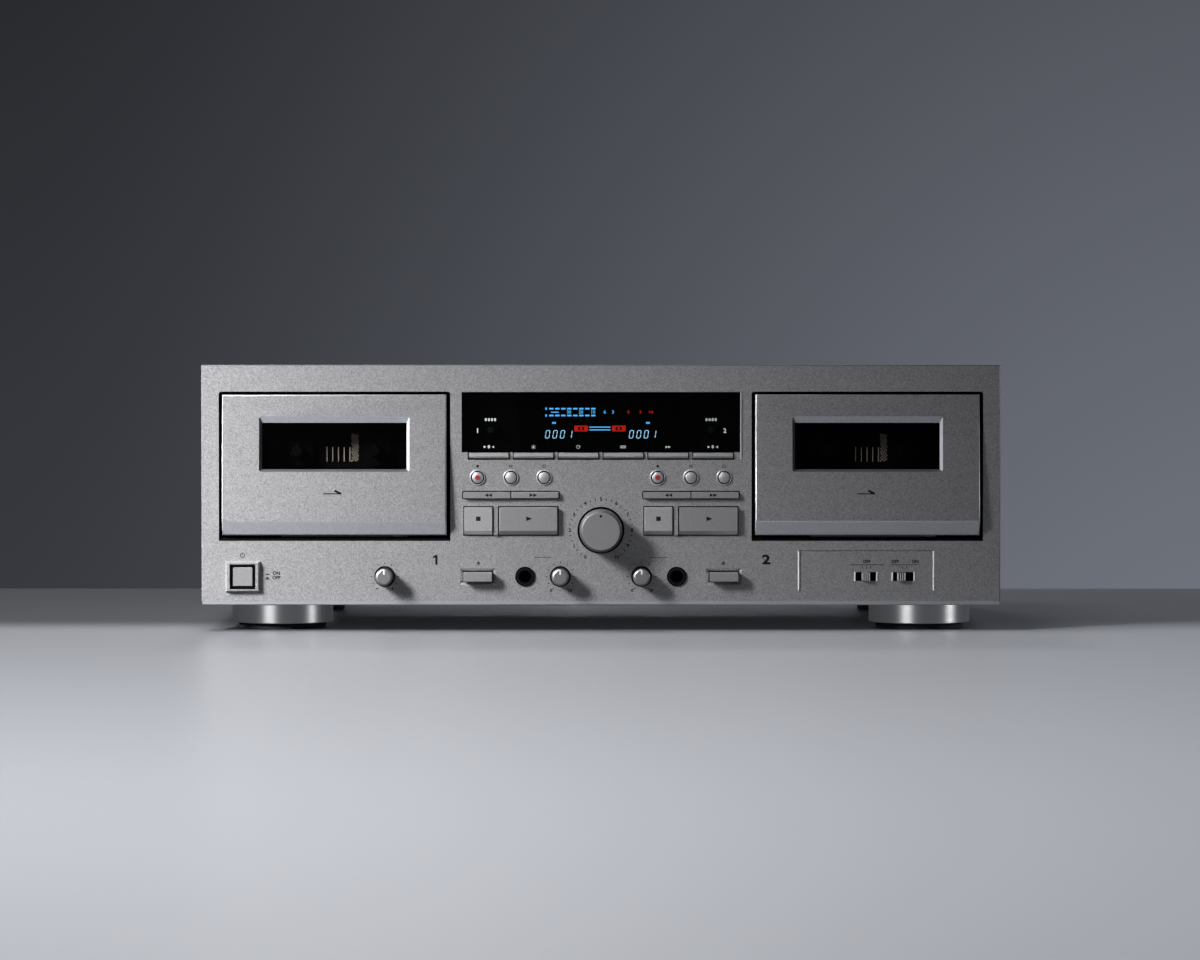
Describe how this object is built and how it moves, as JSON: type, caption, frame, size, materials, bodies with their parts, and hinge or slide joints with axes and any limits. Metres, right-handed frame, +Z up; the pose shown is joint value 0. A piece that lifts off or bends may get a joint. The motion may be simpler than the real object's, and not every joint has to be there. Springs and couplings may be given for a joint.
{
  "type": "double cassette deck",
  "caption": "Full-width front-loading double cassette deck with hinged tape doors, level knobs, transport keys, a central display and round metal feet.",
  "frame": {"origin": "on the floor below the middle of the whole deck", "axes": "+X to the right seen from the front, +Y to the back, +Z up"},
  "size_m": [0.435, 0.286, 0.145],
  "materials": {
    "panel_silver": "fine metallic silver paint",
    "key_silver": "satin silver paint",
    "knob_silver": "satin silver paint",
    "well_black": "fine black texture",
    "cover_black": "fine textured black paint",
    "zinc_steel": "zinc-plated sheet",
    "foot_aluminium": "turned",
    "pad_rubber": "matt",
    "display_black": "polished, dark tint",
    "tube_glass": "polished",
    "socket_black": "moulded",
    "transport_grey": "dark plated sheet",
    "board_green": "lacquered board",
    "core_iron": "varnished plates",
    "screw_black": "black oxide",
    "cap_grey": "moulded",
    "door_glass": "clear with a light smoke tint",
    "holder_black": "black paint",
    "polished_steel": "ground and polished"
  },
  "bodies": {
    "cabinet": {"front_panel": "panel_silver", "deck_wells": "well_black", "top_cover": "cover_black", "chassis": "zinc_steel", "rear_panel": "cover_black", "feet": "foot_aluminium", "foot_pads": "pad_rubber", "display_window": "display_black", "display_tube": "tube_glass", "audio_sockets": "socket_black", "transport_frames": "transport_grey", "motor_drives": "zinc_steel", "circuit_boards": "board_green", "power_transformer": "core_iron", "screws": "screw_black"},
    "door_1": {"door_panel_1": "panel_silver", "door_window_1": "door_glass", "cassette_holder_1": "holder_black"},
    "door_2": {"door_panel_2": "panel_silver", "door_window_2": "door_glass", "cassette_holder_2": "holder_black"},
    "record_button_1": {"record_button_1": "key_silver"},
    "pause_button_1": {"pause_button_1": "key_silver"},
    "mute_button_1": {"mute_button_1": "key_silver"},
    "rewind_button_1": {"rewind_button_1": "key_silver"},
    "forward_button_1": {"forward_button_1": "key_silver"},
    "stop_button_1": {"stop_button_1": "key_silver"},
    "play_button_1": {"play_button_1": "key_silver"},
    "record_button_2": {"record_button_2": "key_silver"},
    "pause_button_2": {"pause_button_2": "key_silver"},
    "mute_button_2": {"mute_button_2": "key_silver"},
    "rewind_button_2": {"rewind_button_2": "key_silver"},
    "forward_button_2": {"forward_button_2": "key_silver"},
    "stop_button_2": {"stop_button_2": "key_silver"},
    "play_button_2": {"play_button_2": "key_silver"},
    "eject_button_1": {"eject_button_1": "key_silver"},
    "eject_button_2": {"eject_button_2": "key_silver"},
    "power_button": {"power_button": "key_silver"},
    "zero_button_1": {"zero_button_1": "key_silver"},
    "dimmer_button": {"dimmer_button": "key_silver"},
    "repeat_button": {"repeat_button": "key_silver"},
    "parallel_button": {"parallel_button": "key_silver"},
    "dub_button": {"dub_button": "key_silver"},
    "zero_button_2": {"zero_button_2": "key_silver"},
    "counter_button_1": {"counter_button_1": "socket_black"},
    "counter_button_2": {"counter_button_2": "socket_black"},
    "timer_switch": {"timer_switch": "cap_grey"},
    "noise_switch": {"noise_switch": "cap_grey"},
    "rec_level_knob": {"rec_level_knob": "knob_silver"},
    "mic_level_knob": {"mic_level_knob": "knob_silver"},
    "phones_level_knob": {"phones_level_knob": "knob_silver"},
    "pitch_knob": {"pitch_knob": "knob_silver"},
    "supply_spindle_1": {"supply_spindle_1": "well_black"},
    "takeup_spindle_1": {"takeup_spindle_1": "well_black"},
    "capstan_1": {"capstan_1": "polished_steel"},
    "head_carriage_1": {"head_carriage_1": "zinc_steel"},
    "supply_spindle_2": {"supply_spindle_2": "well_black"},
    "takeup_spindle_2": {"takeup_spindle_2": "well_black"},
    "capstan_2": {"capstan_2": "polished_steel"},
    "head_carriage_2": {"head_carriage_2": "zinc_steel"}
  },
  "joints": [
    {"name": "door_1_turn", "type": "hinge", "parent": "cabinet", "child": "door_1", "pos_m": [-0.145, -0.1215, 0.0555], "axis": [1, 0, 0], "range_deg": [0, 25]},
    {"name": "door_2_turn", "type": "hinge", "parent": "cabinet", "child": "door_2", "pos_m": [0.145, -0.1215, 0.0555], "axis": [1, 0, 0], "range_deg": [0, 25]},
    {"name": "record_button_1_slide", "type": "slide", "parent": "cabinet", "child": "record_button_1", "axis": [0, 1, 0], "range_m": [0, 0.0008], "stiffness_N_per_m": 400},
    {"name": "pause_button_1_slide", "type": "slide", "parent": "cabinet", "child": "pause_button_1", "axis": [0, 1, 0], "range_m": [0, 0.0008], "stiffness_N_per_m": 400},
    {"name": "mute_button_1_slide", "type": "slide", "parent": "cabinet", "child": "mute_button_1", "axis": [0, 1, 0], "range_m": [0, 0.0008], "stiffness_N_per_m": 400},
    {"name": "rewind_button_1_slide", "type": "slide", "parent": "cabinet", "child": "rewind_button_1", "axis": [0, 1, 0], "range_m": [0, 0.0008], "stiffness_N_per_m": 400},
    {"name": "forward_button_1_slide", "type": "slide", "parent": "cabinet", "child": "forward_button_1", "axis": [0, 1, 0], "range_m": [0, 0.0008], "stiffness_N_per_m": 400},
    {"name": "stop_button_1_slide", "type": "slide", "parent": "cabinet", "child": "stop_button_1", "axis": [0, 1, 0], "range_m": [0, 0.0008], "stiffness_N_per_m": 400},
    {"name": "play_button_1_slide", "type": "slide", "parent": "cabinet", "child": "play_button_1", "axis": [0, 1, 0], "range_m": [0, 0.0008], "stiffness_N_per_m": 400},
    {"name": "record_button_2_slide", "type": "slide", "parent": "cabinet", "child": "record_button_2", "axis": [0, 1, 0], "range_m": [0, 0.0008], "stiffness_N_per_m": 400},
    {"name": "pause_button_2_slide", "type": "slide", "parent": "cabinet", "child": "pause_button_2", "axis": [0, 1, 0], "range_m": [0, 0.0008], "stiffness_N_per_m": 400},
    {"name": "mute_button_2_slide", "type": "slide", "parent": "cabinet", "child": "mute_button_2", "axis": [0, 1, 0], "range_m": [0, 0.0008], "stiffness_N_per_m": 400},
    {"name": "rewind_button_2_slide", "type": "slide", "parent": "cabinet", "child": "rewind_button_2", "axis": [0, 1, 0], "range_m": [0, 0.0008], "stiffness_N_per_m": 400},
    {"name": "forward_button_2_slide", "type": "slide", "parent": "cabinet", "child": "forward_button_2", "axis": [0, 1, 0], "range_m": [0, 0.0008], "stiffness_N_per_m": 400},
    {"name": "stop_button_2_slide", "type": "slide", "parent": "cabinet", "child": "stop_button_2", "axis": [0, 1, 0], "range_m": [0, 0.0008], "stiffness_N_per_m": 400},
    {"name": "play_button_2_slide", "type": "slide", "parent": "cabinet", "child": "play_button_2", "axis": [0, 1, 0], "range_m": [0, 0.0008], "stiffness_N_per_m": 400},
    {"name": "eject_button_1_slide", "type": "slide", "parent": "cabinet", "child": "eject_button_1", "axis": [0, 1, 0], "range_m": [0, 0.0025], "stiffness_N_per_m": 400},
    {"name": "eject_button_2_slide", "type": "slide", "parent": "cabinet", "child": "eject_button_2", "axis": [0, 1, 0], "range_m": [0, 0.0025], "stiffness_N_per_m": 400},
    {"name": "power_button_slide", "type": "slide", "parent": "cabinet", "child": "power_button", "axis": [0, 1, 0], "range_m": [0, 0.0025], "stiffness_N_per_m": 400},
    {"name": "zero_button_1_slide", "type": "slide", "parent": "cabinet", "child": "zero_button_1", "axis": [0, 1, 0], "range_m": [0, 0.0008], "stiffness_N_per_m": 400},
    {"name": "dimmer_button_slide", "type": "slide", "parent": "cabinet", "child": "dimmer_button", "axis": [0, 1, 0], "range_m": [0, 0.0008], "stiffness_N_per_m": 400},
    {"name": "repeat_button_slide", "type": "slide", "parent": "cabinet", "child": "repeat_button", "axis": [0, 1, 0], "range_m": [0, 0.0008], "stiffness_N_per_m": 400},
    {"name": "parallel_button_slide", "type": "slide", "parent": "cabinet", "child": "parallel_button", "axis": [0, 1, 0], "range_m": [0, 0.0008], "stiffness_N_per_m": 400},
    {"name": "dub_button_slide", "type": "slide", "parent": "cabinet", "child": "dub_button", "axis": [0, 1, 0], "range_m": [0, 0.0008], "stiffness_N_per_m": 400},
    {"name": "zero_button_2_slide", "type": "slide", "parent": "cabinet", "child": "zero_button_2", "axis": [0, 1, 0], "range_m": [0, 0.0008], "stiffness_N_per_m": 400},
    {"name": "counter_button_1_slide", "type": "slide", "parent": "cabinet", "child": "counter_button_1", "axis": [0, 1, 0], "range_m": [0, 0.0008], "stiffness_N_per_m": 400},
    {"name": "counter_button_2_slide", "type": "slide", "parent": "cabinet", "child": "counter_button_2", "axis": [0, 1, 0], "range_m": [0, 0.0008], "stiffness_N_per_m": 400},
    {"name": "timer_switch_slide", "type": "slide", "parent": "cabinet", "child": "timer_switch", "axis": [1, 0, 0], "range_m": [-0.00215, 0.00215]},
    {"name": "noise_switch_slide", "type": "slide", "parent": "cabinet", "child": "noise_switch", "axis": [1, 0, 0], "range_m": [0, 0.00215]},
    {"name": "rec_level_knob_turn", "type": "hinge", "parent": "cabinet", "child": "rec_level_knob", "pos_m": [0, -0.126, 0.055], "axis": [0, 1, 0], "range_deg": [-150, 150]},
    {"name": "mic_level_knob_turn", "type": "hinge", "parent": "cabinet", "child": "mic_level_knob", "pos_m": [-0.0221, -0.126, 0.0298], "axis": [0, 1, 0], "range_deg": [-150, 150]},
    {"name": "phones_level_knob_turn", "type": "hinge", "parent": "cabinet", "child": "phones_level_knob", "pos_m": [0.0221, -0.126, 0.0298], "axis": [0, 1, 0], "range_deg": [-150, 150]},
    {"name": "pitch_knob_turn", "type": "hinge", "parent": "cabinet", "child": "pitch_knob", "pos_m": [-0.1177, -0.126, 0.0298], "axis": [0, 1, 0], "range_deg": [-150, 150]},
    {"name": "supply_spindle_1_turn", "type": "hinge", "parent": "cabinet", "child": "supply_spindle_1", "pos_m": [-0.16625, -0.105, 0.098], "axis": [0, 1, 0], "continuous": true},
    {"name": "takeup_spindle_1_turn", "type": "hinge", "parent": "cabinet", "child": "takeup_spindle_1", "pos_m": [-0.12375, -0.105, 0.098], "axis": [0, 1, 0], "continuous": true},
    {"name": "capstan_1_turn", "type": "hinge", "parent": "cabinet", "child": "capstan_1", "pos_m": [-0.111, -0.105, 0.0685], "axis": [0, 1, 0], "continuous": true},
    {"name": "head_carriage_1_slide", "type": "slide", "parent": "cabinet", "child": "head_carriage_1", "axis": [0, 0, 1], "range_m": [0, 0.006], "stiffness_N_per_m": 40},
    {"name": "supply_spindle_2_turn", "type": "hinge", "parent": "cabinet", "child": "supply_spindle_2", "pos_m": [0.12375, -0.105, 0.098], "axis": [0, 1, 0], "continuous": true},
    {"name": "takeup_spindle_2_turn", "type": "hinge", "parent": "cabinet", "child": "takeup_spindle_2", "pos_m": [0.16625, -0.105, 0.098], "axis": [0, 1, 0], "continuous": true},
    {"name": "capstan_2_turn", "type": "hinge", "parent": "cabinet", "child": "capstan_2", "pos_m": [0.179, -0.105, 0.0685], "axis": [0, 1, 0], "continuous": true},
    {"name": "head_carriage_2_slide", "type": "slide", "parent": "cabinet", "child": "head_carriage_2", "axis": [0, 0, 1], "range_m": [0, 0.006], "stiffness_N_per_m": 40}
  ]
}
